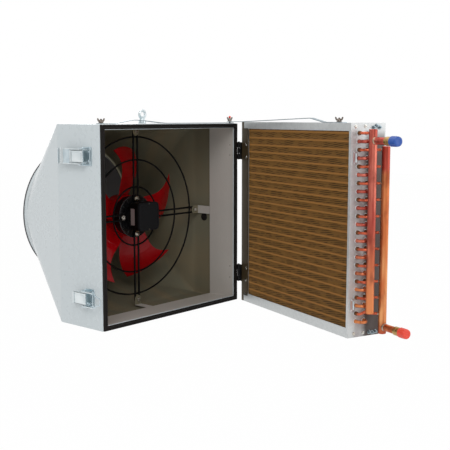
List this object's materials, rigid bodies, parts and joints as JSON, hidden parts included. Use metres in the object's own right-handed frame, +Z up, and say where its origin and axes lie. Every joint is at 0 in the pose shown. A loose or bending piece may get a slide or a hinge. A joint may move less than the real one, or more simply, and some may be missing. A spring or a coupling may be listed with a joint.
{
  "type": "ceiling mounted fan heater",
  "caption": "Square sheet-metal hot-water heater hung from an eye, with a fan on a wire guard, a round outlet with damper flaps and a finned coil hinged on as the front door.",
  "frame": {"origin": "centre of the ring of the hanging eye on top of the casing", "axes": "+Z up, +Y along the fan axis the way the air leaves, +X to the right seen from the coil side, towards the door hinges"},
  "size_m": [0.8184, 1.3254, 0.7015],
  "materials": {
    "casing_paint": "gloss",
    "liner_sheet": "satin",
    "black_rubber": "matte",
    "black_paint": "satin",
    "black_plastic": "satin",
    "red_plastic": "satin",
    "zinc_plate": "satin",
    "plated_steel": "satin",
    "galvanised_sheet": "satin",
    "coil_fins": "satin",
    "copper_tube": "satin",
    "brass_fitting": "satin",
    "damper_grey": "matte",
    "blue_cap_plastic": "satin",
    "red_cap_plastic": "satin"
  },
  "bodies": {
    "casing": {"box_shell": "casing_paint", "transition_shell": "casing_paint", "outlet_trim": "black_rubber", "inner_liner": "liner_sheet", "door_gasket": "black_rubber", "fan_guard": "black_paint", "guard_bolt_right": "plated_steel", "guard_bolt_bottom": "plated_steel", "guard_bolt_left": "plated_steel", "guard_bolt_top": "plated_steel", "motor_stator": "black_paint", "terminal_box": "black_plastic", "terminal_box_cover": "black_plastic", "front_bearing": "plated_steel", "rear_bearing": "plated_steel", "damper_rod": "plated_steel", "cable_grommet": "black_rubber", "hanging_eye": "zinc_plate", "top_strap": "zinc_plate", "left_stud": "plated_steel", "right_stud": "plated_steel", "upper_latch_base": "zinc_plate", "lower_latch_base": "zinc_plate", "upper_casing_hinge_leaf": "black_paint", "upper_hinge_pin": "black_paint", "lower_casing_hinge_leaf": "black_paint", "lower_hinge_pin": "black_paint"},
    "coil_door": {"upper_coil_hinge_leaf": "black_paint", "lower_coil_hinge_leaf": "black_paint", "hinge_side_plate": "galvanised_sheet", "connection_plate": "galvanised_sheet", "top_channel": "galvanised_sheet", "bottom_channel": "galvanised_sheet", "fin_coil": "coil_fins", "supply_header": "copper_tube", "return_header": "copper_tube", "supply_nipple": "brass_fitting", "return_nipple": "brass_fitting", "blue_cap": "blue_cap_plastic", "red_cap": "red_cap_plastic", "upper_keeper": "zinc_plate", "lower_keeper": "zinc_plate", "coil_stud": "plated_steel", "door_stay": "zinc_plate"},
    "fan_rotor": {"fan_wheel": "red_plastic", "rotor_cup": "black_paint", "rotor_shaft": "plated_steel"},
    "right_damper": {"right_flap": "damper_grey"},
    "left_damper": {"left_flap": "damper_grey"},
    "upper_lever": {"upper_latch_lever": "zinc_plate"},
    "upper_bail": {"upper_latch_bail": "zinc_plate"},
    "lower_lever": {"lower_latch_lever": "zinc_plate"},
    "lower_bail": {"lower_latch_bail": "zinc_plate"},
    "left_nut": {"left_wing_nut": "plated_steel"},
    "right_nut": {"right_wing_nut": "plated_steel"},
    "coil_nut": {"coil_wing_nut": "plated_steel"}
  },
  "joints": [
    {"name": "coil_hinge", "type": "hinge", "parent": "casing", "child": "coil_door", "pos_m": [0.336, -0.153, -0.3565], "axis": [0, 0, 1], "range_deg": [-70, 20]},
    {"name": "fan_spin", "type": "hinge", "parent": "casing", "child": "fan_rotor", "pos_m": [0, 0.107, -0.3565], "axis": [0, 1, 0], "continuous": true},
    {"name": "right_flap_swing", "type": "hinge", "parent": "casing", "child": "right_damper", "pos_m": [0, 0.345, -0.3565], "axis": [0, 0, 1], "range_deg": [0, 75], "stiffness_Nm_per_rad": 0.05},
    {"name": "left_flap_swing", "type": "hinge", "parent": "casing", "child": "left_damper", "pos_m": [0, 0.345, -0.3565], "axis": [0, 0, -1], "range_deg": [0, 75], "stiffness_Nm_per_rad": 0.05},
    {"name": "upper_lever_lift", "type": "hinge", "parent": "casing", "child": "upper_lever", "pos_m": [-0.338, -0.087, -0.1315], "axis": [0, 0, 1], "range_deg": [0, 110]},
    {"name": "upper_bail_swing", "type": "hinge", "parent": "casing", "child": "upper_bail", "pos_m": [-0.345, -0.081, -0.1315], "axis": [0, 0, 1], "range_deg": [0, 175]},
    {"name": "lower_lever_lift", "type": "hinge", "parent": "casing", "child": "lower_lever", "pos_m": [-0.338, -0.087, -0.5815], "axis": [0, 0, 1], "range_deg": [0, 110]},
    {"name": "lower_bail_swing", "type": "hinge", "parent": "casing", "child": "lower_bail", "pos_m": [-0.345, -0.081, -0.5815], "axis": [0, 0, -1], "range_deg": [0, 175]},
    {"name": "left_nut_turn", "type": "hinge", "parent": "casing", "child": "left_nut", "pos_m": [-0.305, -0.136, -0.02], "axis": [0, 0, 1], "continuous": true},
    {"name": "right_nut_turn", "type": "hinge", "parent": "casing", "child": "right_nut", "pos_m": [0.305, -0.136, -0.016], "axis": [0, 0, 1], "continuous": true},
    {"name": "coil_nut_turn", "type": "hinge", "parent": "coil_door", "child": "coil_nut", "pos_m": [0.1691, -0.69458, -0.016], "axis": [0, 0, 1], "continuous": true}
  ],
  "couplings": [
    {"joint": "left_flap_swing", "follows": "right_flap_swing", "ratio": 1}
  ]
}
